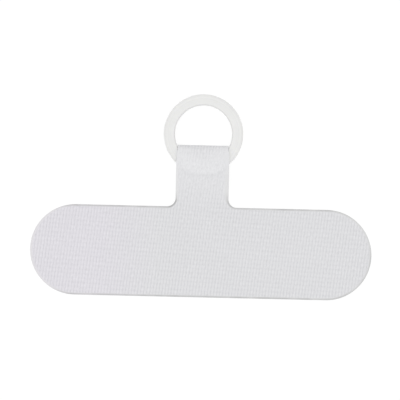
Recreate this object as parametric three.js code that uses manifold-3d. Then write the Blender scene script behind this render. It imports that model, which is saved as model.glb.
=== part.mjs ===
// Phone lanyard patch: a woven patch whose tongue folds round a moulded plastic ring.
// Millimetres. It lies flat: X runs along the patch, Y from the patch to the ring, Z up.
// The origin is under the middle of the whole part, on the surface that it lies on.

import * as THREE from "three";
import { mergeVertices } from "three/addons/utils/BufferGeometryUtils.js";
import Module from "manifold-3d";

const wasm = await Module();
wasm.setup();
const { smoothstep, lerp, degToRad } = THREE.MathUtils;
const cloth = new THREE.MeshStandardMaterial({ color: 0xdedde0, roughness: 0.95, metalness: 0 });
const milkyPlastic = new THREE.MeshStandardMaterial({ color: 0xeaeae8, roughness: 0.4, metalness: 0 });

// Cloth: one layer, and the ribs of its weave on the front face
const clothThickness = 0.4;
const ribPitch = 0.575;
const ribDepth = 0.06;
const ribLean = degToRad(6.9);

// Patch: a stadium of two layers bonded face to face
const patchLength = 65;
const patchWidth = 17.2;

// Ring: a flat washer with rounded edges
const ringInnerRadius = 5.43;
const ringBand = 2.13;
const ringThickness = 1.2;
const ringEdgeRadius = 0.4;
const ringClearance = 0.2;

// Tongue: as wide as the ring's hole lets it be, and folded round the ring
const tongueSideGap = 0.4;
const tongueLength = 11.75;
const tongueFillet = 1.6;
const loopHeadroom = 0.25;
const foldReach = 1.1;
const foldHalfGap = 0.6;
const cornerGap = 0.1;

// Drape: the cloth turns down inside the ring's outer edge and meets its other layer past it
const drapeInset = 0.26;
const drapeReach = 0.94;
const drapeSlope = degToRad(46);
const bondLip = 0.2;
const rampGap = 0.3;

// Blanks and cutters run past what they cut by this much
const cutMargin = 1;

// Sizes that follow
const halfPatch = patchWidth / 2;
const halfTongue = ringInnerRadius - tongueSideGap;
const ringOuterRadius = ringInnerRadius + ringBand;
const ringDrop = Math.sqrt(ringInnerRadius ** 2 - halfTongue ** 2) + cornerGap;
const partWidth = patchWidth + tongueLength + ringDrop + ringOuterRadius;
const patchY = halfPatch - partWidth / 2;
const tongueRootY = patchY + halfPatch;
const foldY = tongueRootY + tongueLength;
const ringY = foldY + ringDrop;
const loopHalfGap = ringThickness / 2 + loopHeadroom;
const loopZ = clothThickness + loopHalfGap;
const bendY = foldY - foldReach;
const rampStartY = tongueRootY + rampGap;
const rampEndY = ringY - ringOuterRadius - drapeReach;
const drapeOffset = clothThickness * Math.tan(drapeSlope / 2);

// How finely the draped surfaces are divided
const rampRows = 7;
const drapeRows = 18;
const bendRows = 5;
const pocketColumns = 20;
const edgeSteps = 3;
const ringSegments = 64;
const outlineSegments = 24;

// The middle of the two layers rises from the patch to the ring's middle
function middleZ(y) {
  return lerp(clothThickness, loopZ, smoothstep(y, rampStartY, rampEndY));
}

// Half the space between the layers: none at the bond, most over the ring, less at the fold
function halfGap(x, y, offset = 0) {
  const radius = Math.hypot(x, y - ringY);
  const start = ringOuterRadius - drapeInset + offset;
  const end = ringOuterRadius + drapeReach + offset;
  const overHole = smoothstep(radius, ringDrop, ringInnerRadius - ringClearance);
  return lerp(foldHalfGap, loopHalfGap, overHole) * (1 - smoothstep(radius, start, end));
}

// Rows of one section, over the front face, round the bend of the fold and back underneath
function sectionRows(flatRows, reach) {
  const front = flatRows.map((y) => ({ y, side: 1 }));
  const back = flatRows.map((y) => ({ y, side: -1 })).reverse();
  const bend = [];
  for (let k = 1; k < 2 * bendRows; k += 1) {
    const turn = (Math.PI * k) / (2 * bendRows);
    bend.push({ y: bendY + reach * Math.sin(turn), side: Math.cos(turn) });
  }
  return [...front, ...bend, ...back];
}

// Evenly spaced values from one to the other, with both ends
function spaced(from, to, steps) {
  return Array.from({ length: steps + 1 }, (_, k) => lerp(from, to, k / steps));
}

// Distance between two points
function span(a, b) {
  return Math.hypot(a[0] - b[0], a[1] - b[1], a[2] - b[2]);
}

// A closed body from sections side by side along X, each a loop over the front and back.
// Each face is split along its shorter diagonal, so that creases keep their line.
function loftAlongX(sections) {
  const positions = [];
  const triangle = (a, b, c) => positions.push(...a, ...b, ...c);
  for (let i = 0; i + 1 < sections.length; i += 1) {
    const [near, far] = [sections[i], sections[i + 1]];
    near.forEach((point, k) => {
      const next = (k + 1) % near.length;
      if (span(point, far[next]) <= span(near[next], far[k])) {
        triangle(point, far[k], far[next]);
        triangle(point, far[next], near[next]);
      } else {
        triangle(point, far[k], near[next]);
        triangle(far[k], far[next], near[next]);
      }
    });
  }
  for (const end of [sections[0], sections.at(-1).toReversed()]) {
    for (let k = 0, mirror = end.length - 1; k + 1 < mirror; k += 1, mirror -= 1) {
      triangle(end[k], end[k + 1], end[mirror]);
      if (k + 1 < mirror - 1) triangle(end[k + 1], end[mirror - 1], end[mirror]);
    }
  }
  const geometry = new THREE.BufferGeometry();
  geometry.setAttribute("position", new THREE.Float32BufferAttribute(positions, 3));
  return geometry;
}

// A three.js geometry as a solid for joining and cutting, and back
function toSolid(geometry) {
  const bare = geometry.clone();
  bare.deleteAttribute("normal");
  bare.deleteAttribute("uv");
  const merged = mergeVertices(bare, 1e-5);
  const vertProperties = new Float32Array(merged.attributes.position.array);
  const triVerts = new Uint32Array(merged.index.array);
  return new wasm.Manifold(new wasm.Mesh({ numProp: 3, vertProperties, triVerts }));
}

function toGeometry(solid) {
  const mesh = solid.getMesh();
  const geometry = new THREE.BufferGeometry();
  geometry.setAttribute("position", new THREE.BufferAttribute(mesh.vertProperties, 3));
  geometry.setIndex(new THREE.BufferAttribute(mesh.triVerts, 1));
  geometry.computeVertexNormals();
  return geometry;
}

// A washer round Z with rounded edges
function washer(inner, outer, thickness, edge) {
  const profile = [];
  const corners = [
    [outer - edge, thickness / 2 - edge, 0],
    [inner + edge, thickness / 2 - edge, 1],
    [inner + edge, edge - thickness / 2, 2],
    [outer - edge, edge - thickness / 2, 3],
  ];
  for (const [radius, height, quarter] of corners) {
    for (let k = 0; k <= edgeSteps; k += 1) {
      const angle = (Math.PI / 2) * (quarter + k / edgeSteps);
      const across = radius + edge * Math.cos(angle);
      profile.push(new THREE.Vector2(across, height + edge * Math.sin(angle)));
    }
  }
  profile.push(profile[0].clone());
  return new THREE.LatheGeometry(profile, ringSegments).rotateX(Math.PI / 2);
}

// Outline that the cloth is die-cut to: a stadium with a filleted tongue, past the fold
function patchOutline() {
  const endX = patchLength / 2 - halfPatch;
  const filletX = halfTongue + tongueFillet;
  const filletY = tongueRootY + tongueFillet;
  const outline = new THREE.Shape();
  outline.moveTo(-endX, patchY - halfPatch);
  outline.absarc(endX, patchY, halfPatch, -Math.PI / 2, Math.PI / 2, false);
  outline.absarc(filletX, filletY, tongueFillet, -Math.PI / 2, -Math.PI, true);
  outline.lineTo(halfTongue, foldY + cutMargin);
  outline.lineTo(-halfTongue, foldY + cutMargin);
  outline.absarc(-filletX, filletY, tongueFillet, 0, -Math.PI / 2, true);
  outline.absarc(-endX, patchY, halfPatch, Math.PI / 2, (3 * Math.PI) / 2, false);
  return outline;
}

// The woven blank before it is cut out, as a wide band and the tongue's strip on it
function wovenBlank() {
  const columnWidth = ribPitch / 2;
  const middleY = (tongueRootY + foldY) / 2;
  const bottomY = patchY - halfPatch - cutMargin;
  const spread = (middleY - bottomY) * Math.tan(ribLean) + cutMargin;
  const wovenPoint = (column, row) => {
    const x = column * columnWidth + (row.y - middleY) * Math.tan(ribLean);
    const rib = column % 2 === 0 ? 0 : ribDepth * Math.max(0, row.side);
    const half = clothThickness + halfGap(x, row.y, drapeOffset);
    return [x, row.y, middleZ(row.y) + half * row.side - rib];
  };
  const woven = (halfWidth, rows) => {
    const columns = Math.ceil(halfWidth / columnWidth);
    const sections = [];
    for (let column = -columns; column <= columns; column += 1) {
      sections.push(rows.map((row) => wovenPoint(column, row)));
    }
    return toSolid(loftAlongX(sections));
  };
  const bandRows = [
    { y: bottomY, side: 1 },
    { y: rampStartY, side: 1 },
    { y: rampStartY, side: -1 },
    { y: bottomY, side: -1 },
  ];
  const ramp = spaced(rampStartY, rampEndY, rampRows);
  const drape = spaced(rampEndY, bendY, drapeRows).slice(1);
  const band = woven(patchLength / 2 + spread, bandRows);
  const stripRows = sectionRows([...ramp, ...drape], foldReach);
  const strip = woven(halfTongue + tongueFillet + cutMargin, stripRows);
  return band.add(strip);
}

// The space inside the folded tongue, from the bond to the bend
function pocket() {
  const reach = foldReach - clothThickness;
  const bondRadius = ringOuterRadius + drapeReach - bondLip;
  const sections = [];
  for (let column = 0; column <= pocketColumns; column += 1) {
    const x = (2 * column / pocketColumns - 1) * (halfTongue + cutMargin);
    const bondY = ringY - Math.sqrt(bondRadius ** 2 - x ** 2);
    const rows = sectionRows(spaced(bondY, bendY, drapeRows), reach);
    sections.push(rows.map(({ y, side }) => [x, y, middleZ(y) + halfGap(x, y) * side]));
  }
  return toSolid(loftAlongX(sections));
}

function makePatch() {
  const cutter = new THREE.ExtrudeGeometry(patchOutline(), {
    depth: 2 * (loopZ + cutMargin),
    bevelEnabled: false,
    curveSegments: outlineSegments,
  }).translate(0, 0, -cutMargin);
  const ringSpace = washer(
    ringInnerRadius - ringClearance,
    ringOuterRadius + ringClearance,
    ringThickness + 2 * ringClearance,
    ringEdgeRadius + ringClearance,
  ).translate(0, ringY, loopZ);
  const cut = wovenBlank().intersect(toSolid(cutter));
  const folded = cut.subtract(pocket()).subtract(toSolid(ringSpace));
  const patch = new THREE.Mesh(toGeometry(folded), cloth);
  patch.name = "patch";
  return patch;
}

function makeRing() {
  const geometry = washer(ringInnerRadius, ringOuterRadius, ringThickness, ringEdgeRadius);
  const ring = new THREE.Mesh(geometry, milkyPlastic);
  ring.name = "ring";
  ring.position.set(0, ringY, loopZ);
  return ring;
}

const lanyardPatch = new THREE.Group();
lanyardPatch.add(makePatch(), makeRing());

export default lanyardPatch;
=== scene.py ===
"""Phone lanyard patch: a woven patch, folded over at its tongue round a moulded plastic ring.

The patch lies on its back. X runs along it, Y from the patch to the ring, Z up, in metres.
"""

import math

import bpy
import numpy as np
from bpy.props import FloatProperty, FloatVectorProperty, IntProperty, PointerProperty
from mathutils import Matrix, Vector
from mathutils.geometry import delaunay_2d_cdt


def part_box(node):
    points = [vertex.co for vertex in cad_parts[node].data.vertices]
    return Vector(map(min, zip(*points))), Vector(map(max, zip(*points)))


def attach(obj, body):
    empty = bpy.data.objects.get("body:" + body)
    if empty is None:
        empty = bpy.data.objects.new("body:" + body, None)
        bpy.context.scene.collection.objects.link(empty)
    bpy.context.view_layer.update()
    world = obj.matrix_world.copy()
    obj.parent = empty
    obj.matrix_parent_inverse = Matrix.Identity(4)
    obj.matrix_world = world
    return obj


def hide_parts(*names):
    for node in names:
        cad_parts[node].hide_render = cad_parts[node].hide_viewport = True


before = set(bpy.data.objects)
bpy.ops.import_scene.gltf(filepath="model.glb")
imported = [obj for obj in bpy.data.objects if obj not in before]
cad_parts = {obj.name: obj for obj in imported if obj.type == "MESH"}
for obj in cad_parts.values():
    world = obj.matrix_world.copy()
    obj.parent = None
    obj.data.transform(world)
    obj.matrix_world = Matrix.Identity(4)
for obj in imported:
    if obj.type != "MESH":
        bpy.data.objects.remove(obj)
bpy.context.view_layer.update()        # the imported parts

bl_info = {
    "name": "Phone Lanyard Patch",
    "version": (1, 0, 0),
    "blender": (4, 5, 0),
    "location": "View3D > Sidebar > Lanyard Patch",
    "description": "Makes a folded woven patch with its moulded ring, and a pale stage for it",
    "category": "Add Mesh",
}

MM = 0.001
PATCH_LOW, PATCH_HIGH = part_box("patch")
RING_LOW, RING_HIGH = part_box("ring")
RING_CENTRE = (RING_LOW + RING_HIGH) / 2
RING_OUTER = (RING_HIGH.x - RING_LOW.x) / 2
RING_THICKNESS = RING_HIGH.z - RING_LOW.z


def srgb(text):
    """The linear colour of an sRGB hex value such as "DEDDE0"."""
    values = [int(text[k:k + 2], 16) / 255 for k in (0, 2, 4)]
    linear = [v / 12.92 if v <= 0.04045 else ((v + 0.055) / 1.055) ** 2.4 for v in values]
    return (*linear, 1.0)


def smooth_step(x, start, end):
    """0 before start, 1 after end, and a smooth rise between them."""
    t = np.clip((x - start) / (end - start), 0.0, 1.0)
    return t * t * (3 - 2 * t)


def blend_values(a, b, share):
    """The value that lies the given share of the way from a to b."""
    return a + (b - a) * share


class ClothSettings(bpy.types.PropertyGroup):
    """Sizes and colours of the folded cloth."""

    patch_width: FloatProperty(
        name="Patch width", description="Across the stadium-shaped patch",
        default=17.2 * MM, unit="LENGTH",
    )
    tongue_width: FloatProperty(
        name="Tongue width", description="Across the tongue that holds the ring",
        default=10.06 * MM, unit="LENGTH",
    )
    fillet: FloatProperty(
        name="Fillet", description="Radius where the tongue leaves the patch",
        default=1.6 * MM, unit="LENGTH",
    )
    layer: FloatProperty(
        name="Layer", description="Thickness of one layer of cloth",
        default=0.4 * MM, unit="LENGTH",
    )
    warp_spacing: FloatProperty(
        name="Warp spacing", description="From one near-upright yarn to the next",
        default=0.575 * MM, unit="LENGTH",
    )
    weft_spacing: FloatProperty(
        name="Weft spacing", description="From one crosswise yarn to the next",
        default=0.84 * MM, unit="LENGTH",
    )
    warp_lean: FloatProperty(
        name="Warp lean", description="How far the upright yarns lean to the right",
        default=math.radians(6.9), subtype="ANGLE",
    )
    weft_slope: FloatProperty(
        name="Weft slope", description="How far the crosswise yarns fall to the right",
        default=math.radians(2.8), subtype="ANGLE",
    )
    relief: FloatProperty(
        name="Relief", description="From the crown of a yarn to the gap between yarns",
        default=0.065 * MM, unit="LENGTH",
    )
    rim: FloatProperty(
        name="Rim", description="Width of the edge that the hot cutter has sealed",
        default=0.2 * MM, unit="LENGTH",
    )
    yarn_colour: FloatVectorProperty(
        name="Yarn", description="Colour of the yarns' crowns",
        default=srgb("E3E3E5"), size=4, subtype="COLOR",
    )
    # Painted shade: the darker colour painted down between the yarns, where shade falls
    painted_gap_shade: FloatVectorProperty(
        name="Gaps", description="Colour down between the yarns",
        default=srgb("D4D4D7"), size=4, subtype="COLOR",
    )
    # Painted light: the paler colour painted where the ring lies under the cloth
    painted_ring_glow: FloatVectorProperty(
        name="Over the ring", description="Colour where the ring shows through the cloth",
        default=srgb("E7E7E9"), size=4, subtype="COLOR",
    )
    rim_colour: FloatVectorProperty(
        name="Rim", description="Colour of the smooth, sealed rim",
        default=srgb("E4E4E4"), size=4, subtype="COLOR",
    )
    # Painted shade along the very edge, with a little grey of the melted cut
    edge_melt_and_shade: FloatVectorProperty(
        name="Cut edge", description="Colour of the melted line at the very edge",
        default=srgb("A2A2A3"), size=4, subtype="COLOR",
    )


class RingSettings(bpy.types.PropertyGroup):
    """Sizes and colour of the moulded ring."""

    inner_radius: FloatProperty(
        name="Hole radius", description="Radius of the ring's hole",
        default=5.43 * MM, unit="LENGTH",
    )
    edge_radius: FloatProperty(
        name="Edge radius", description="Rounding of the ring's edges",
        default=0.4 * MM, unit="LENGTH",
    )
    turns: IntProperty(
        name="Divisions", description="Faces round the ring", default=256, min=32,
    )
    colour: FloatVectorProperty(
        name="Plastic", description="Colour of the milky plastic",
        default=srgb("EAEAE9"), size=4, subtype="COLOR",
    )


class StageSettings(bpy.types.PropertyGroup):
    """The camera, floor and light."""

    picture_width: FloatProperty(
        name="Picture width", description="What the picture takes in from side to side",
        default=76.27 * MM, unit="LENGTH",
    )
    picture_x: FloatProperty(
        name="Picture centre X", description="Where the middle of the picture lies along X",
        default=-0.376 * MM, unit="LENGTH",
    )
    picture_y: FloatProperty(
        name="Picture centre Y", description="Where the middle of the picture lies along Y",
        default=-0.792 * MM, unit="LENGTH",
    )
    roll: FloatProperty(
        name="Roll", description="How far the part appears turned clockwise",
        default=math.radians(1.33), subtype="ANGLE",
    )
    camera_height: FloatProperty(
        name="Camera height", description="Height of the camera over the part",
        default=0.5, unit="LENGTH",
    )
    key_light: FloatProperty(
        name="Key light", description="Power of the lamp on the left", default=0.37, unit="POWER",
    )
    fill_light: FloatProperty(
        name="Fill light", description="Power of the lamp on the right", default=0.26, unit="POWER",
    )
    surround: FloatProperty(
        name="Surround", description="Strength of the even light from all round", default=0.86,
    )


class FoldedCloth:
    """The flat blank's outline, and where each of its points lies once it is folded."""

    bend_reach = 1.1 * MM
    fold_half_gap = 0.6 * MM
    headroom = 0.25 * MM
    ring_clearance = 0.2 * MM
    drape_inset = 0.26 * MM
    drape_reach = 0.94 * MM
    drape_slope = math.radians(46)
    ramp_gap = 0.3 * MM
    bond = 0.01 * MM
    pinch_start = 4.0 * MM
    pinch_run = 1.3 * MM
    outer_pinch = 0.18 * MM
    inner_pinch = 0.38 * MM
    press_width = 1.6 * MM
    pressed_headroom = 0.04 * MM
    pressed_layer = 0.3
    # How dark the line along the cut edge is painted: mostly painted shade, with a little grey of the
    # melted cut. Pairs are for the right side, then the left.
    edge_shade_level = 0.5
    fillet_shade_levels = (0.62, 0.78)
    tongue_shade_levels = (0.06, 0.04)
    fillet_shade_near = 0.5 * MM
    fillet_shade_far = 2.2 * MM
    end_start = 9 * MM
    end_full = 3 * MM

    def __init__(self, cloth, ring):
        self.layer = cloth.layer
        self.half_patch = cloth.patch_width / 2
        self.half_length = (PATCH_HIGH.x - PATCH_LOW.x) / 2
        self.half_tongue = cloth.tongue_width / 2
        self.fillet = cloth.fillet
        self.hole = ring.inner_radius
        self.bottom_y = PATCH_LOW.y
        self.root = cloth.patch_width
        self.bend_y = PATCH_HIGH.y - self.bend_reach
        self.front = self.bend_y - self.bottom_y
        self.bend = math.pi * (self.bend_reach + self.fold_half_gap + self.layer) / 2
        self.length = 2 * self.front + self.bend

    def outside(self, u, v):
        """How far a point of the flat blank is outside its cut edge, negative inside."""
        v = np.minimum(v, self.length - v)
        core = self.half_length - self.half_patch
        stadium = np.hypot(np.maximum(np.abs(u) - core, 0), v - self.half_patch) - self.half_patch
        strip = np.maximum(np.abs(u) - self.half_tongue, self.half_patch - v)
        du = np.abs(u) - self.half_tongue - self.fillet
        dv = v - self.root - self.fillet
        corner = self.fillet - np.hypot(du, dv)
        in_corner = (du < 0) & (dv < 0) & (v > self.half_patch)
        return np.minimum(np.minimum(stadium, strip), np.where(in_corner, corner, 1.0))

    def beside_tongue(self, u, v):
        """1 at the tongue's right side, where the sealed rim is wider, and 0 elsewhere."""
        v = np.minimum(v, self.length - v)
        past_root = smooth_step(v, self.root, self.root + 2 * self.fillet)
        return past_root * smooth_step(u, 0, self.half_tongue)

    def painted_edge_shade(self, u, v):
        """How dark the cut edge's line is painted, mostly as painted shade with a little grey of the
        melted cut: most in the fillets, little on the tongue.
        """
        v = np.minimum(v, self.length - v)
        inward = 0.3 * self.fillet
        away = np.hypot(np.abs(u) - self.half_tongue - inward, v - self.root - inward)
        fillets = np.where(u > 0, *self.fillet_shade_levels)
        fillets = fillets * (1 - smooth_step(away, self.fillet_shade_near, self.fillet_shade_far))
        tongue = smooth_step(v, self.root + 0.5 * self.fillet, self.root + 2 * self.fillet)
        start, full = self.half_length - self.end_start, self.half_length - self.end_full
        left_end = smooth_step(-u, start, full)
        right_end = smooth_step(u, start, full)
        upper_right = right_end * smooth_step(v, self.half_patch, 1.5 * self.half_patch)
        level = (1 - 0.9 * left_end) * (1 - 0.3 * right_end) * (1 - 0.4 * upper_right)
        level *= self.edge_shade_level
        level = blend_values(level, np.where(u > 0, *self.tongue_shade_levels), tongue)
        on_ring = RING_CENTRE.y - RING_OUTER - self.bottom_y
        level *= 1 - smooth_step(v, on_ring - MM, on_ring + MM)
        return np.maximum(level, fillets)

    def outward(self, u, v):
        """The direction straight out of the blank's nearest edge."""
        step = 0.002 * MM
        gu = self.outside(u + step, v) - self.outside(u - step, v)
        gv = self.outside(u, v + step) - self.outside(u, v - step)
        size = np.maximum(np.hypot(gu, gv), 1e-12)
        return gu / size, gv / size

    def middle_z(self, y):
        """Height of the bond between the layers, which rises from the patch to the ring."""
        start = self.bottom_y + self.root + self.ramp_gap
        end = RING_CENTRE.y - RING_OUTER - self.drape_reach
        return blend_values(self.layer, RING_CENTRE.z, smooth_step(y, start, end))

    def pressed(self, x):
        """How far the tongue's side edges are drawn down on the ring: 1 at the cut edge."""
        return smooth_step(np.abs(x), self.half_tongue - self.press_width, self.half_tongue)

    def half_gap(self, x, y, offset):
        """Half the space between the layers: most over the ring, none past its outer edge."""
        radius = np.hypot(x, y - RING_CENTRE.y)
        drop = RING_CENTRE.y - PATCH_HIGH.y
        over_ring = smooth_step(radius, drop, self.hole - self.ring_clearance)
        headroom = blend_values(self.headroom, self.pressed_headroom, self.pressed(x))
        gap = blend_values(self.fold_half_gap, RING_THICKNESS / 2 + headroom, over_ring)
        start = RING_OUTER - self.drape_inset + offset
        return gap * (1 - smooth_step(radius, start, RING_OUTER + self.drape_reach + offset))

    def drawn_in(self, u, v, pinch):
        """Draws the fold's corners in by the pinch, so that they pass inside the ring's hole."""
        quarter = self.bend / 4
        rise = smooth_step(v, self.front - self.pinch_run, self.front + quarter)
        back = self.length - self.front
        fall = smooth_step(v, back - quarter, back + self.pinch_run)
        beyond = np.maximum(np.abs(u) - self.pinch_start, 0) / (self.half_tongue - self.pinch_start)
        return u - np.sign(u) * pinch * beyond * rise * (1 - fall)

    def placed(self, u, v, depth):
        """Where a point of the blank lies: depth 0 is the woven face and 1 the bonded one."""
        turn = np.clip((v - self.front) / self.bend, 0, 1) * math.pi
        past = np.maximum(v - self.front - self.bend, 0)
        flat_y = self.bottom_y + np.minimum(v, self.front) - past
        side = np.cos(turn)
        drape_offset = self.layer * math.tan(self.drape_slope / 2)
        corners = []
        for reach, offset, thickness, pinch in (
            (self.bend_reach, drape_offset, self.layer, self.outer_pinch),
            (self.bend_reach - self.layer, 0.0, self.bond, self.inner_pinch),
        ):
            x = self.drawn_in(u, v, pinch)
            y = flat_y + reach * np.sin(turn)
            gap = self.half_gap(x, y, offset)
            on_ring = np.clip(gap / self.fold_half_gap, 0, 1)
            thin = 1 - (1 - self.pressed_layer) * self.pressed(u) * on_ring
            z = self.middle_z(y) + (thickness * thin + gap) * side
            corners.append(np.stack([x, y, z], axis=-1))
        return blend_values(corners[0], corners[1], np.asarray(depth)[..., None])


class Lattice:
    """The weave's grid on the flat blank, which leans, and its mesh inside the cut edge."""

    warp_steps = 4
    weft_steps = 4
    snap = 0.035 * MM

    def __init__(self, cloth, blank):
        self.blank = blank
        warp, weft = cloth.warp_spacing, cloth.weft_spacing
        self.across = np.array([warp, -warp * math.tan(cloth.weft_slope)])
        self.along = np.array([weft * math.tan(cloth.warp_lean), weft])
        half_rows = math.ceil((blank.length / 2 / weft + 3) * self.weft_steps)
        lean = blank.length / 2 * math.tan(cloth.warp_lean)
        half_columns = math.ceil((blank.half_length + lean) / warp * self.warp_steps)
        i = np.arange(-half_columns, half_columns + 1) / self.warp_steps
        j = np.arange(-half_rows, half_rows + 1) / self.weft_steps
        p, q = np.meshgrid(i, j, indexing="ij")
        self.u = p * self.across[0] + q * self.along[0]
        self.v = p * self.across[1] + q * self.along[1] + blank.length / 2

    def meshed(self, inset):
        """Points and faces of the grid inside the cut edge, and the loop round them."""
        blank = self.blank
        u, v = self.u.copy(), self.v.copy()
        level = blank.outside(u, v) + inset
        near = np.abs(level) < self.snap
        du, dv = blank.outward(u[near], v[near])
        u[near] -= level[near] * du
        v[near] -= level[near] * dv
        level[near] = 0.0
        numbers = -np.ones(u.shape, int)
        inside = level <= 0
        numbers[inside] = np.arange(inside.sum())
        points = list(np.stack([u[inside], v[inside]], axis=-1))
        corners = np.stack([
            numbers[:-1, :-1], numbers[1:, :-1], numbers[1:, 1:], numbers[:-1, 1:],
        ], axis=-1)
        count = (corners >= 0).sum(axis=-1)
        faces = [list(face) for face in corners[count == 4]]
        crossings = {}
        for ci, cj in np.argwhere((count > 0) & (count < 4)):
            cell = [(ci, cj), (ci + 1, cj), (ci + 1, cj + 1), (ci, cj + 1)]
            face = []
            for here, there in zip(cell, cell[1:] + cell[:1]):
                if inside[here]:
                    face.append(int(numbers[here]))
                if inside[here] == inside[there] or level[here] == 0 or level[there] == 0:
                    continue
                key = (min(here, there), max(here, there))
                if key not in crossings:
                    share = level[here] / (level[here] - level[there])
                    cu = blend_values(u[here], u[there], share)
                    cv = blend_values(v[here], v[there], share)
                    du, dv = blank.outward(cu, cv)
                    error = blank.outside(cu, cv) + inset
                    crossings[key] = len(points)
                    points.append(np.array([cu - error * du, cv - error * dv]))
                face.append(crossings[key])
            if len(face) >= 3:
                faces.append(face)
        return np.array(points), faces, self.loop_round(faces)

    def loop_round(self, faces):
        """The points round the mesh's edge, in order."""
        once = {}
        for face in faces:
            for a, b in zip(face, face[1:] + face[:1]):
                if (b, a) in once:
                    del once[(b, a)]
                else:
                    once[(a, b)] = True
        following = {a: b for a, b in once}
        start = next(iter(following))
        loop = [start]
        while following[loop[-1]] != start:
            loop.append(following[loop[-1]])
        if len(loop) != len(following):
            raise RuntimeError("the cloth's edge isn't one loop")
        return loop


def add(tree, kind, inputs=None, **settings):
    """Adds a node with its settings, and sets or links its inputs."""
    node = tree.nodes.new(kind)
    for name, value in settings.items():
        setattr(node, name, value)
    for key, value in (inputs or {}).items():
        if isinstance(value, bpy.types.NodeSocket):
            tree.links.new(value, node.inputs[key])
        else:
            node.inputs[key].default_value = value
    return node


def yarn_height(tree, across, along, shift, crimp_share):
    """Height of one set of yarns: rounded across, and weaving up and down along its length."""
    number = add(tree, "ShaderNodeMath", {0: across}, operation="ROUND").outputs[0]
    offset = add(tree, "ShaderNodeMath", {0: across, 1: number}, operation="SUBTRACT").outputs[0]
    wide = add(tree, "ShaderNodeMath", {0: offset, 1: 1.9}, operation="MULTIPLY").outputs[0]
    square = add(tree, "ShaderNodeMath", {0: wide, 1: wide}, operation="MULTIPLY").outputs[0]
    left = add(tree, "ShaderNodeMath", {0: 1.0, 1: square}, operation="SUBTRACT").outputs[0]
    crown = add(tree, "ShaderNodeMath", {0: left}, operation="SQRT").outputs[0]
    phase = add(tree, "ShaderNodeMath", {0: along, 1: number}, operation="ADD").outputs[0]
    phase = add(tree, "ShaderNodeMath", {0: phase, 1: shift}, operation="ADD").outputs[0]
    angle = add(tree, "ShaderNodeMath", {0: phase, 1: math.pi}, operation="MULTIPLY").outputs[0]
    wave = add(tree, "ShaderNodeMath", {0: angle}, operation="COSINE").outputs[0]
    crimp = add(
        tree, "ShaderNodeMath", {0: wave, 1: 0.5, 2: 0.5}, operation="MULTIPLY_ADD",
    ).outputs[0]
    body = add(
        tree, "ShaderNodeMath", {0: crown, 1: 1 - crimp_share}, operation="MULTIPLY",
    ).outputs[0]
    return add(
        tree, "ShaderNodeMath", {0: crimp, 1: crimp_share, 2: body}, operation="MULTIPLY_ADD",
    ).outputs[0]


def weave_height(tree, warp_count, weft_count):
    """Height of the uppermost yarn, from 0 to 1, and whether it is a warp yarn."""
    warp = yarn_height(tree, warp_count, weft_count, 0.0, 0.32)
    weft = yarn_height(tree, weft_count, warp_count, 1.0, 0.8)
    top = add(tree, "ShaderNodeMath", {0: warp, 1: weft}, operation="MAXIMUM").outputs[0]
    is_warp = add(tree, "ShaderNodeMath", {0: warp, 1: weft}, operation="GREATER_THAN").outputs[0]
    return top, is_warp


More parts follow.
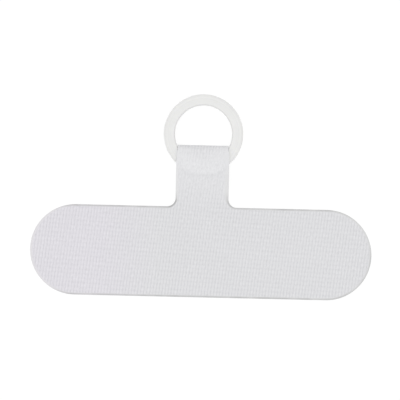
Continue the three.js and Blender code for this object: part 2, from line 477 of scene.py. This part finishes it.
def weave_tree():
    """Geometry nodes that raise the yarns of a plain weave on the cloth's outer face."""
    tree = bpy.data.node_groups.new("Plain weave", "GeometryNodeTree")
    sockets = tree.interface
    sockets.new_socket("Geometry", in_out="INPUT", socket_type="NodeSocketGeometry")
    for name in ("Warp Spacing", "Weft Spacing", "Warp Lean", "Weft Slope", "Relief", "Rim"):
        sockets.new_socket(name, in_out="INPUT", socket_type="NodeSocketFloat")
    sockets.new_socket("Material", in_out="INPUT", socket_type="NodeSocketMaterial")
    sockets.new_socket("Geometry", in_out="OUTPUT", socket_type="NodeSocketGeometry")
    given = add(tree, "NodeGroupInput").outputs
    blank = add(tree, "GeometryNodeInputNamedAttribute", {"Name": "Blank"}, data_type="FLOAT_VECTOR")
    edge = add(tree, "GeometryNodeInputNamedAttribute", {"Name": "edge"}, data_type="FLOAT")
    woven = add(tree, "GeometryNodeInputNamedAttribute", {"Name": "woven"}, data_type="FLOAT")
    point = add(tree, "ShaderNodeSeparateXYZ", {0: blank.outputs["Attribute"]}).outputs
    lean = add(tree, "ShaderNodeMath", {0: given["Warp Lean"]}, operation="TANGENT").outputs[0]
    slope = add(tree, "ShaderNodeMath", {0: given["Weft Slope"]}, operation="TANGENT").outputs[0]
    # Solves u = p warp + q weft lean and v = q weft - p warp slope for the yarn counts p and q
    both = add(
        tree, "ShaderNodeMath", {0: lean, 1: slope, 2: 1.0}, operation="MULTIPLY_ADD",
    ).outputs[0]
    counts = []
    for this, other, factor, sign, spacing in (
        (point["X"], point["Y"], lean, -1.0, given["Warp Spacing"]),
        (point["Y"], point["X"], slope, 1.0, given["Weft Spacing"]),
    ):
        turned = add(tree, "ShaderNodeMath", {0: other, 1: factor}, operation="MULTIPLY").outputs[0]
        moved = add(
            tree, "ShaderNodeMath", {0: turned, 1: sign, 2: this}, operation="MULTIPLY_ADD",
        ).outputs[0]
        whole = add(tree, "ShaderNodeMath", {0: both, 1: spacing}, operation="MULTIPLY").outputs[0]
        count = add(tree, "ShaderNodeMath", {0: moved, 1: whole}, operation="DIVIDE")
        counts.append(count.outputs[0])
    top = weave_height(tree, *counts)[0]
    past_rim = add(
        tree, "ShaderNodeMapRange",
        {"Value": edge.outputs["Attribute"], "From Min": given["Rim"], "From Max": 0.44},
        interpolation_type="SMOOTHSTEP",
    ).outputs["Result"]
    share = add(
        tree, "ShaderNodeMath", {0: past_rim, 1: woven.outputs["Attribute"]}, operation="MULTIPLY",
    ).outputs[0]
    below = add(tree, "ShaderNodeMath", {0: top, 1: 1.0}, operation="SUBTRACT").outputs[0]
    depth = add(
        tree, "ShaderNodeMath", {0: below, 1: given["Relief"]}, operation="MULTIPLY",
    ).outputs[0]
    depth = add(tree, "ShaderNodeMath", {0: depth, 1: share}, operation="MULTIPLY").outputs[0]
    normal = add(tree, "GeometryNodeInputNormal").outputs["Normal"]
    shift = add(
        tree, "ShaderNodeVectorMath", {0: normal, "Scale": depth}, operation="SCALE",
    ).outputs[0]
    yarns = add(tree, "ShaderNodeCombineXYZ", {0: counts[0], 1: counts[1]}).outputs[0]
    counted = add(
        tree, "GeometryNodeStoreNamedAttribute",
        {"Geometry": given["Geometry"], "Name": "yarns", "Value": yarns},
        data_type="FLOAT_VECTOR", domain="POINT",
    ).outputs["Geometry"]
    raised = add(tree, "GeometryNodeSetPosition", {"Geometry": counted, "Offset": shift})
    real = add(tree, "GeometryNodeRealizeInstances", {"Geometry": raised.outputs["Geometry"]})
    finished = add(
        tree, "GeometryNodeSetMaterial",
        {"Geometry": real.outputs["Geometry"], "Material": given["Material"]},
    )
    add(tree, "NodeGroupOutput", {"Geometry": finished.outputs["Geometry"]})
    return tree


def run_geometry_nodes(obj, tree, values):
    """Runs the tree on obj with its inputs by name, and keeps the result as a plain mesh."""
    modifier = obj.modifiers.new(tree.name, "NODES")
    modifier.node_group = tree
    for item in tree.interface.items_tree:
        if item.item_type == "SOCKET" and item.in_out == "INPUT" and item.name in values:
            modifier[item.identifier] = values[item.name]
    shown = obj.evaluated_get(bpy.context.evaluated_depsgraph_get())
    mesh = bpy.data.meshes.new_from_object(shown)
    obj.modifiers.remove(modifier)
    obj.data = mesh


def ring_radius(tree, place):
    """Distance from the ring's axis, in plan."""
    centre = (RING_CENTRE.x, RING_CENTRE.y, 0.0)
    moved = add(tree, "ShaderNodeVectorMath", {0: place, 1: centre}, operation="SUBTRACT")
    level = add(
        tree, "ShaderNodeVectorMath", {0: moved.outputs[0], 1: (1, 1, 0)}, operation="MULTIPLY",
    ).outputs[0]
    return add(tree, "ShaderNodeVectorMath", {0: level}, operation="LENGTH").outputs["Value"]


def woven_polyester():
    """Woven polyester, heat-cut: matt yarns of fine filaments, with a sealed, smoother edge."""
    cloth = bpy.context.scene.lanyard_cloth
    material = bpy.data.materials.new("Woven polyester, heat-cut")
    material.use_nodes = True
    tree = material.node_tree
    tree.nodes.clear()
    blank = add(tree, "ShaderNodeUVMap", uv_map="Blank").outputs["UV"]
    edge = add(tree, "ShaderNodeAttribute", attribute_name="edge").outputs["Fac"]
    yarns = add(tree, "ShaderNodeAttribute", attribute_name="yarns").outputs["Vector"]
    count = add(tree, "ShaderNodeSeparateXYZ", {0: yarns}).outputs
    height, warp_on_top = weave_height(tree, count["X"], count["Y"])
    # How strongly the painted shade of the edge line shows
    edge_shade_mask = add(tree, "ShaderNodeAttribute", attribute_name="edge_shade_mask").outputs["Fac"]
    # Filaments show side by side in each yarn, and each is seen for about a yarn's length
    across_yarn, along_yarn = 14.0, 0.9
    streaks = []
    for scale in ((across_yarn, along_yarn, 1.0), (along_yarn, across_yarn, 1.0)):
        stretched = add(tree, "ShaderNodeVectorMath", {0: yarns, 1: scale}, operation="MULTIPLY")
        streaks.append(add(
            tree, "ShaderNodeTexNoise",
            {"Vector": stretched.outputs[0], "Scale": 1.0, "Detail": 2.0, "Roughness": 0.6},
        ).outputs["Fac"])
    filaments = add(
        tree, "ShaderNodeMix", {"Factor": warp_on_top, "A": streaks[1], "B": streaks[0]},
    ).outputs["Result"]
    # No two warp yarns take the dye alike, nor one yarn all along its length
    stretched = add(tree, "ShaderNodeVectorMath", {0: yarns, 1: (2.6, 1.3, 1.0)}, operation="MULTIPLY")
    uneven_yarns = add(
        tree, "ShaderNodeTexNoise", {"Vector": stretched.outputs[0], "Scale": 1.0, "Detail": 2.0},
    ).outputs["Fac"]
    cloudy = add(
        tree, "ShaderNodeTexNoise", {"Vector": blank, "Scale": 0.12, "Detail": 3.0},
    ).outputs["Fac"]
    # Painted light: the cloth is made paler over the ring, as if the pale ring's light showed through
    # it, mostly between the yarns; the paleness runs on past the ring's edge over the drape's slope
    # and offsets the shade there
    place = add(tree, "ShaderNodeTexCoord").outputs["Object"]
    radius = ring_radius(tree, place)
    glow = add(tree, "ShaderNodeValToRGB", {"Fac": add(
        tree, "ShaderNodeMath", {0: radius, 1: 2 * RING_OUTER}, operation="DIVIDE",
    ).outputs[0]})
    stops = glow.color_ramp.elements
    stops[0].position, stops[1].position = 0.16, 1.0
    for place_on_ramp, value in ((0.38, 1.0), (0.49, 1.0), (0.58, 0.6)):
        stops.new(place_on_ramp).color = (value, value, value, 1)
    stops[0].color, stops[len(stops) - 1].color = (0.1, 0.1, 0.1, 1), (0, 0, 0, 1)
    over_ring = glow.outputs["Color"]
    gap = add(
        tree, "ShaderNodeMix",
        {"Factor": over_ring, "A": tuple(cloth.painted_gap_shade), "B": tuple(cloth.painted_ring_glow)},
        data_type="RGBA",
    ).outputs["Result"]
    crown = add(
        tree, "ShaderNodeMix",
        {"Factor": over_ring, "A": tuple(cloth.yarn_colour), "B": tuple(cloth.painted_ring_glow)},
        data_type="RGBA",
    ).outputs["Result"]
    # Painted shade: the colour darkens from the yarns' crowns down into the gaps between them
    down = add(
        tree, "ShaderNodeMapRange", {"Value": height, "From Min": 0.45, "From Max": 0.95},
    ).outputs["Result"]
    yarn = add(
        tree, "ShaderNodeMix", {"Factor": down, "A": gap, "B": crown}, data_type="RGBA",
    ).outputs["Result"]
    light = add(
        tree, "ShaderNodeMath", {0: filaments, 1: 0.12, 2: 0.94}, operation="MULTIPLY_ADD",
    ).outputs[0]
    for noise, share in ((cloudy, 0.03), (uneven_yarns, 0.24)):
        light = add(
            tree, "ShaderNodeMath", {0: noise, 1: share, 2: light}, operation="MULTIPLY_ADD",
        ).outputs[0]
        light = add(
            tree, "ShaderNodeMath", {0: light, 1: share / 2}, operation="SUBTRACT",
        ).outputs[0]
    shaded = add(
        tree, "ShaderNodeVectorMath", {0: yarn, "Scale": light}, operation="SCALE",
    ).outputs[0]
    # The dye is a touch more lilac towards the left end
    across = add(tree, "ShaderNodeSeparateXYZ", {0: place}).outputs["X"]
    lilac = add(
        tree, "ShaderNodeMapRange",
        {"Value": across, "From Min": -19 * MM, "From Max": -8 * MM, "To Min": 1.0, "To Max": 0.0},
    ).outputs["Result"]
    tint = add(
        tree, "ShaderNodeMix", {"Factor": lilac, "A": (1.0, 1.0, 1.0), "B": (1.014, 0.992, 1.024)},
        data_type="VECTOR",
    ).outputs["Result"]
    # The hot cutter leaves a smooth pale rim and, outside it, a dark line at the very edge: painted
    # shade of the edge wall and its contact shadow, with a little grey of the melted yarn
    rim = add(
        tree, "ShaderNodeMapRange",
        {"Value": edge, "From Min": 0.26, "From Max": 0.46, "To Min": 1.0, "To Max": 0.0},
        interpolation_type="SMOOTHSTEP",
    ).outputs["Result"]
    # The smooth rim takes the same painted light over the ring
    smooth_rim = add(
        tree, "ShaderNodeMix",
        {"Factor": over_ring, "A": tuple(cloth.rim_colour), "B": tuple(cloth.painted_ring_glow)},
        data_type="RGBA",
    ).outputs["Result"]
    rimmed = add(
        tree, "ShaderNodeMix", {"Factor": rim, "A": shaded, "B": smooth_rim}, data_type="RGBA",
    ).outputs["Result"]
    rimmed = add(
        tree, "ShaderNodeVectorMath", {0: rimmed, 1: tint}, operation="MULTIPLY",
    ).outputs[0]
    uneven = add(
        tree, "ShaderNodeTexNoise", {"Vector": blank, "Scale": 0.35, "Detail": 2.0},
    ).outputs["Fac"]
    uneven = add(
        tree, "ShaderNodeMapRange",
        {"Value": uneven, "From Min": 0.35, "From Max": 0.65, "To Min": 0.7, "To Max": 1.2},
    ).outputs["Result"]
    melt_and_shade_band = add(
        tree, "ShaderNodeMapRange",
        {"Value": edge, "From Min": 0.16, "From Max": 0.46, "To Min": 1.0, "To Max": 0.0},
        interpolation_type="SMOOTHSTEP",
    ).outputs["Result"]
    line = add(tree, "ShaderNodeMath", {0: melt_and_shade_band, 1: uneven}, operation="MULTIPLY").outputs[0]
    line = add(
        tree, "ShaderNodeMath", {0: line, 1: edge_shade_mask}, operation="MULTIPLY", use_clamp=True,
    ).outputs[0]
    colour = add(
        tree, "ShaderNodeMix", {"Factor": line, "A": rimmed, "B": tuple(cloth.edge_melt_and_shade)},
        data_type="RGBA",
    ).outputs["Result"]
    rough = add(
        tree, "ShaderNodeMapRange", {"Value": rim, "To Min": 0.92, "To Max": 0.65},
    ).outputs["Result"]
    smooth = add(tree, "ShaderNodeMath", {0: 1.0, 1: rim}, operation="SUBTRACT").outputs[0]
    bump = add(
        tree, "ShaderNodeBump",
        {"Height": height, "Strength": smooth, "Distance": 0.05 * MM},
    ).outputs["Normal"]
    bump = add(
        tree, "ShaderNodeBump",
        {"Height": filaments, "Strength": 0.6, "Distance": 0.04 * MM, "Normal": bump},
    ).outputs["Normal"]
    shader = add(
        tree, "ShaderNodeBsdfPrincipled",
        {"Base Color": colour, "Roughness": rough, "Normal": bump, "IOR": 1.5, "Sheen Weight": 0.1},
    )
    add(tree, "ShaderNodeOutputMaterial", {"Surface": shader.outputs["BSDF"]})
    return material


def milky_polypropylene():
    """Natural polypropylene, moulded: milky, satin, and a little light passes into it."""
    ring = bpy.context.scene.lanyard_ring
    material = bpy.data.materials.new("Natural polypropylene, moulded")
    material.use_nodes = True
    tree = material.node_tree
    tree.nodes.clear()
    place = add(tree, "ShaderNodeTexCoord").outputs["Object"]
    # The mould's fine spark-eroded skin, about 0.1 mm from peak to peak
    skin = add(
        tree, "ShaderNodeTexNoise", {"Vector": place, "Scale": 1 / (0.1 * MM), "Detail": 2.0},
    ).outputs["Fac"]
    flow = add(
        tree, "ShaderNodeTexNoise", {"Vector": place, "Scale": 1 / (3 * MM), "Detail": 2.0},
    ).outputs["Fac"]
    light = add(
        tree, "ShaderNodeMath", {0: flow, 1: 0.06, 2: 0.97}, operation="MULTIPLY_ADD",
    ).outputs[0]
    radius = ring_radius(tree, place)
    # Faint rings, 0.2 mm wide, left by the tool that turned the mould
    count = add(tree, "ShaderNodeMath", {0: radius, 1: 0.2 * MM}, operation="DIVIDE").outputs[0]
    turned = add(
        tree, "ShaderNodeTexNoise", {"W": count, "Detail": 1.0, "Scale": 1.0},
        noise_dimensions="1D",
    ).outputs["Fac"]
    light = add(
        tree, "ShaderNodeMath", {0: turned, 1: 0.07, 2: light}, operation="MULTIPLY_ADD",
    ).outputs[0]
    light = add(tree, "ShaderNodeMath", {0: light, 1: 0.035}, operation="SUBTRACT").outputs[0]
    colour = add(
        tree, "ShaderNodeVectorMath", {0: tuple(ring.colour)[:3], "Scale": light}, operation="SCALE",
    ).outputs[0]
    # Painted shade on the ring's two rounded edges, darker round the hole
    for middle, width, keep in (
        (ring.inner_radius + 0.1 * MM, 0.18 * MM, 0.92), (RING_OUTER - 0.28 * MM, 0.2 * MM, 0.945),
    ):
        away = add(tree, "ShaderNodeMath", {0: radius, 1: middle}, operation="SUBTRACT").outputs[0]
        away = add(tree, "ShaderNodeMath", {0: away}, operation="ABSOLUTE").outputs[0]
        ring_edge_shade = add(
            tree, "ShaderNodeMapRange",
            {"Value": away, "From Min": 0.0, "From Max": width, "To Min": keep, "To Max": 1.0},
            interpolation_type="SMOOTHSTEP",
        ).outputs["Result"]
        colour = add(
            tree, "ShaderNodeVectorMath", {0: colour, "Scale": ring_edge_shade}, operation="SCALE",
        ).outputs[0]
    rough = add(tree, "ShaderNodeMapRange", {"Value": skin, "To Min": 0.34, "To Max": 0.46})
    bump = add(tree, "ShaderNodeBump", {"Height": skin, "Strength": 0.15, "Distance": 0.01 * MM})
    shader = add(
        tree, "ShaderNodeBsdfPrincipled",
        {
            "Base Color": colour,
            "Roughness": rough.outputs["Result"],
            "Normal": bump.outputs["Normal"],
            "IOR": 1.49,
            "Subsurface Weight": 0.35,
            "Subsurface Radius": (1.0, 1.0, 0.95),
            "Subsurface Scale": 0.8 * MM,
        },
    )
    add(tree, "ShaderNodeOutputMaterial", {"Surface": shader.outputs["BSDF"]})
    return material


def mesh_object(name, points, faces):
    """A smooth-shaded mesh object at the origin, with its place in its mesh."""
    mesh = bpy.data.meshes.new(name)
    mesh.from_pydata([tuple(p) for p in points], [], faces)
    mesh.validate()
    mesh.shade_smooth()
    obj = bpy.data.objects.new(name, mesh)
    bpy.context.scene.collection.objects.link(obj)
    return obj


class LANYARD_OT_folded_cloth(bpy.types.Operator):
    """Make the woven cloth, folded round the ring and bonded to itself"""

    bl_idname = "lanyard.folded_cloth"
    bl_label = "Folded Cloth"

    # How the sealed edge bulges: outward distance in millimetres, and depth through the layer
    edge_profile = ((0.03, 0.12), (0.04, 0.35), (0.04, 0.65), (0.015, 0.88), (-0.05, 1.0))
    inner_spacing = 0.4 * MM
    inner_margin = 0.3 * MM
    open_reach = 8 * MM

    def execute(self, context):
        cloth = context.scene.lanyard_cloth
        blank = FoldedCloth(cloth, context.scene.lanyard_ring)
        inset = max(out for out, depth in self.edge_profile) * MM
        flat, faces, loop = Lattice(cloth, blank).meshed(inset)
        woven_count = len(flat)
        rows = [loop]
        flats, depths = [flat], [np.zeros(len(flat))]
        ring_u, ring_v = flat[loop, 0], flat[loop, 1]
        out_u, out_v = blank.outward(ring_u, ring_v)
        for out, depth in self.edge_profile:
            start = sum(len(part) for part in flats)
            rows.append(list(range(start, start + len(loop))))
            flats.append(np.stack([ring_u + out * MM * out_u, ring_v + out * MM * out_v], axis=-1))
            depths.append(np.full(len(loop), depth))
        for upper, lower in zip(rows, rows[1:]):
            for k in range(len(loop)):
                after = (k + 1) % len(loop)
                faces.append([upper[k], lower[k], lower[after], upper[after]])
        inner, triangles = self.bonded_face(blank, flats[-1])
        start = sum(len(part) for part in flats) - len(loop)
        flats.append(inner[len(loop):])
        depths.append(np.ones(len(inner) - len(loop)))
        faces.extend([start + c, start + b, start + a] for a, b, c in triangles)
        flat, depth = np.concatenate(flats), np.concatenate(depths)
        points = blank.placed(flat[:, 0], flat[:, 1], depth)
        piece = mesh_object("folded_cloth", points, faces)
        self.keep_blank(piece.data, blank, flat, woven_count)
        values = {
            "Warp Spacing": cloth.warp_spacing / MM,
            "Weft Spacing": cloth.weft_spacing / MM,
            "Warp Lean": cloth.warp_lean,
            "Weft Slope": cloth.weft_slope,
            "Relief": cloth.relief,
            "Rim": cloth.rim / MM,
            "Material": woven_polyester(),
        }
        run_geometry_nodes(piece, weave_tree(), values)
        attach(piece, "patch")
        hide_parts("patch")
        patch_area = math.pi * blank.half_patch ** 2
        patch_area += 2 * blank.half_patch * 2 * (blank.half_length - blank.half_patch)
        return {"FINISHED"}

    def bonded_face(self, blank, edge):
        """Triangles across the layer's inner face, finer where the fold leaves it open."""
        reach = blank.half_tongue
        across = np.arange(-reach, reach, self.inner_spacing)
        start = blank.front - self.open_reach
        along = np.arange(start, blank.length - start, self.inner_spacing)
        u, v = (a.ravel() for a in np.meshgrid(across, along))
        inside = blank.outside(u, v) < -self.inner_margin
        given = [Vector(p) for p in edge] + [Vector(p) for p in zip(u[inside], v[inside])]
        found = delaunay_2d_cdt(given, [], [list(range(len(edge)))], 1, 1e-9)
        new_number = {}
        points = [Vector(p) for p in given]
        for number, (place, came_from) in enumerate(zip(found[0], found[3])):
            if came_from:
                new_number[number] = came_from[0]
            else:
                new_number[number] = len(points)
                points.append(place)
        triangles = [[new_number[n] for n in face] for face in found[2]]
        return np.array([tuple(p) for p in points]), triangles

    def keep_blank(self, mesh, blank, flat, woven_count):
        """Stores the flat blank's coordinates, the distance to its edge, its face and the strength of
        its painted edge shade.
        """
        number = np.zeros(len(mesh.loops), np.int32)
        mesh.loops.foreach_get("vertex_index", number)
        layer = mesh.uv_layers.new(name="Blank")
        centred = (flat - np.array([0, blank.length / 2])) / MM
        layer.data.foreach_set("uv", centred[number].astype(np.float32).ravel())
        edge = np.maximum(-blank.outside(flat[:, 0], flat[:, 1]), 0) / MM
        edge[woven_count:] = 0
        edge /= 1 + 1.4 * blank.beside_tongue(flat[:, 0], flat[:, 1])
        woven = np.zeros(len(flat))
        woven[:woven_count] = 1
        edge_shade_mask = blank.painted_edge_shade(flat[:, 0], flat[:, 1])
        for name, values in (("edge", edge), ("woven", woven), ("edge_shade_mask", edge_shade_mask)):
            attribute = mesh.attributes.new(name, "FLOAT", "POINT")
            attribute.data.foreach_set("value", values.astype(np.float32))


class LANYARD_OT_moulded_ring(bpy.types.Operator):
    """Make the moulded plastic ring that turns in the cloth's loop"""

    bl_idname = "lanyard.moulded_ring"
    bl_label = "Moulded Ring"

    edge_steps = 8
    flat_steps = 4

    def execute(self, context):
        ring = context.scene.lanyard_ring
        profile = self.profile(ring)
        points, faces = [], []
        for k in range(ring.turns):
            angle = 2 * math.pi * k / ring.turns
            for radius, height in profile:
                points.append((
                    RING_CENTRE.x + radius * math.cos(angle),
                    RING_CENTRE.y + radius * math.sin(angle),
                    RING_CENTRE.z + height,
                ))
        count = len(profile)
        for k in range(ring.turns):
            here, there = k * count, (k + 1) % ring.turns * count
            for n in range(count):
                after = (n + 1) % count
                faces.append([here + n, there + n, there + after, here + after])
        piece = mesh_object("ring_moulding", points, faces)
        piece.data.materials.append(milky_polypropylene())
        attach(piece, "ring")
        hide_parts("ring")
        return {"FINISHED"}

    def profile(self, ring):
        """The section of the ring, with its rounded edges, as radius and height."""
        edge = ring.edge_radius
        half = RING_THICKNESS / 2 - edge
        inner, outer = ring.inner_radius + edge, RING_OUTER - edge
        section = []
        for radius, height, quarter in (
            (outer, half, 0), (inner, half, 1), (inner, -half, 2), (outer, -half, 3),
        ):
            for k in range(self.edge_steps + 1):
                angle = math.pi / 2 * (quarter + k / self.edge_steps)
                section.append((radius + edge * math.cos(angle), height + edge * math.sin(angle)))
        return section


class LANYARD_OT_stage(bpy.types.Operator):
    """Make the pale floor, the soft lamps and the camera over the patch"""

    bl_idname = "lanyard.stage"
    bl_label = "Stage"

    lamp_side = 0.5
    floor_side = 1.2

    def execute(self, context):
        stage = context.scene.lanyard_stage
        self.floor()
        self.world(context.scene)
        self.lamp("Key", (-0.3, -0.02, 0.5), stage.key_light)
        self.lamp("Fill", (0.3, -0.04, 0.5), stage.fill_light)
        self.camera(context.scene)
        return {"FINISHED"}

    def floor(self):
        """White card that still takes part of the object's shadow."""
        half = self.floor_side / 2
        corners = [(-half, -half, 0), (half, -half, 0), (half, half, 0), (-half, half, 0)]
        card = mesh_object("floor", corners, [[0, 1, 2, 3]])
        material = bpy.data.materials.new("White card")
        material.use_nodes = True
        tree = material.node_tree
        tree.nodes.clear()
        paper = add(tree, "ShaderNodeBsdfDiffuse", {"Color": srgb("F2F2F2")}).outputs[0]
        shade = add(tree, "ShaderNodeBsdfDiffuse", {"Color": (0.15, 0.15, 0.15, 1)}).outputs[0]
        glow = add(tree, "ShaderNodeEmission", {"Color": (1, 1, 1, 1), "Strength": 0.89}).outputs[0]
        lit = add(tree, "ShaderNodeAddShader", {0: glow, 1: shade}).outputs[0]
        ray = add(tree, "ShaderNodeLightPath").outputs
        seen = add(
            tree, "ShaderNodeMath",
            {0: ray["Is Camera Ray"], 1: ray["Is Glossy Ray"]}, operation="MAXIMUM",
        ).outputs[0]
        seen = add(
            tree, "ShaderNodeMath",
            {0: seen, 1: ray["Is Transmission Ray"]}, operation="MAXIMUM",
        ).outputs[0]
        surface = add(tree, "ShaderNodeMixShader", {0: seen, 1: paper, 2: lit}).outputs[0]
        add(tree, "ShaderNodeOutputMaterial", {"Surface": surface})
        card.data.materials.append(material)

    def world(self, scene):
        """An even white surround."""
        world = bpy.data.worlds.new("Surround")
        scene.world = world
        world.use_nodes = True
        tree = world.node_tree
        tree.nodes.clear()
        ray = add(tree, "ShaderNodeLightPath").outputs["Is Camera Ray"]
        strengths = (scene.lanyard_stage.surround, 1.0)
        light, white = (
            add(tree, "ShaderNodeBackground", {"Color": (1, 1, 1, 1), "Strength": strength}).outputs[0]
            for strength in strengths
        )
        mixed = add(tree, "ShaderNodeMixShader", {0: ray, 1: light, 2: white}).outputs[0]
        add(tree, "ShaderNodeOutputWorld", {"Surface": mixed})

    def lamp(self, name, place, watts):
        """A square area lamp that faces the part."""
        light = bpy.data.lights.new(name, "AREA")
        light.shape = "SQUARE"
        light.size = self.lamp_side
        light.energy = watts
        obj = bpy.data.objects.new(name, light)
        obj.location = place
        obj.rotation_euler = (-Vector(place)).to_track_quat("-Z", "Y").to_euler()
        bpy.context.scene.collection.objects.link(obj)

    def camera(self, scene):
        """Straight above the part, far off, so that it shows hardly any perspective."""
        stage = scene.lanyard_stage
        data = bpy.data.cameras.new("Camera")
        data.lens = data.sensor_width * stage.camera_height / stage.picture_width
        camera = bpy.data.objects.new("Camera", data)
        camera.location = (stage.picture_x, stage.picture_y, stage.camera_height)
        camera.rotation_euler = (0, 0, stage.roll)
        scene.collection.objects.link(camera)
        scene.camera = camera
        scene.view_settings.view_transform = "Standard"


class LANYARD_PT_panel(bpy.types.Panel):
    """The sidebar's panel for the lanyard patch"""

    bl_idname = "LANYARD_PT_panel"
    bl_label = "Lanyard Patch"
    bl_space_type = "VIEW_3D"
    bl_region_type = "UI"
    bl_category = "Lanyard Patch"

    def draw(self, context):
        scene = context.scene
        for settings, operator in (
            (scene.lanyard_cloth, "lanyard.folded_cloth"),
            (scene.lanyard_ring, "lanyard.moulded_ring"),
            (scene.lanyard_stage, "lanyard.stage"),
        ):
            column = self.layout.column(align=True)
            for name in settings.bl_rna.properties.keys():
                if name not in {"rna_type", "name"}:
                    column.prop(settings, name)
            column.operator(operator)


CLASSES = (
    ClothSettings, RingSettings, StageSettings,
    LANYARD_OT_folded_cloth, LANYARD_OT_moulded_ring, LANYARD_OT_stage, LANYARD_PT_panel,
)


def register():
    for made in CLASSES:
        bpy.utils.register_class(made)
    bpy.types.Scene.lanyard_cloth = PointerProperty(type=ClothSettings)
    bpy.types.Scene.lanyard_ring = PointerProperty(type=RingSettings)
    bpy.types.Scene.lanyard_stage = PointerProperty(type=StageSettings)


def unregister():
    del bpy.types.Scene.lanyard_stage
    del bpy.types.Scene.lanyard_ring
    del bpy.types.Scene.lanyard_cloth
    for made in reversed(CLASSES):
        bpy.utils.unregister_class(made)


def main():
    register()
    bpy.ops.lanyard.folded_cloth()
    bpy.ops.lanyard.moulded_ring()
    bpy.ops.lanyard.stage()


if __name__ == "__main__":
    main()
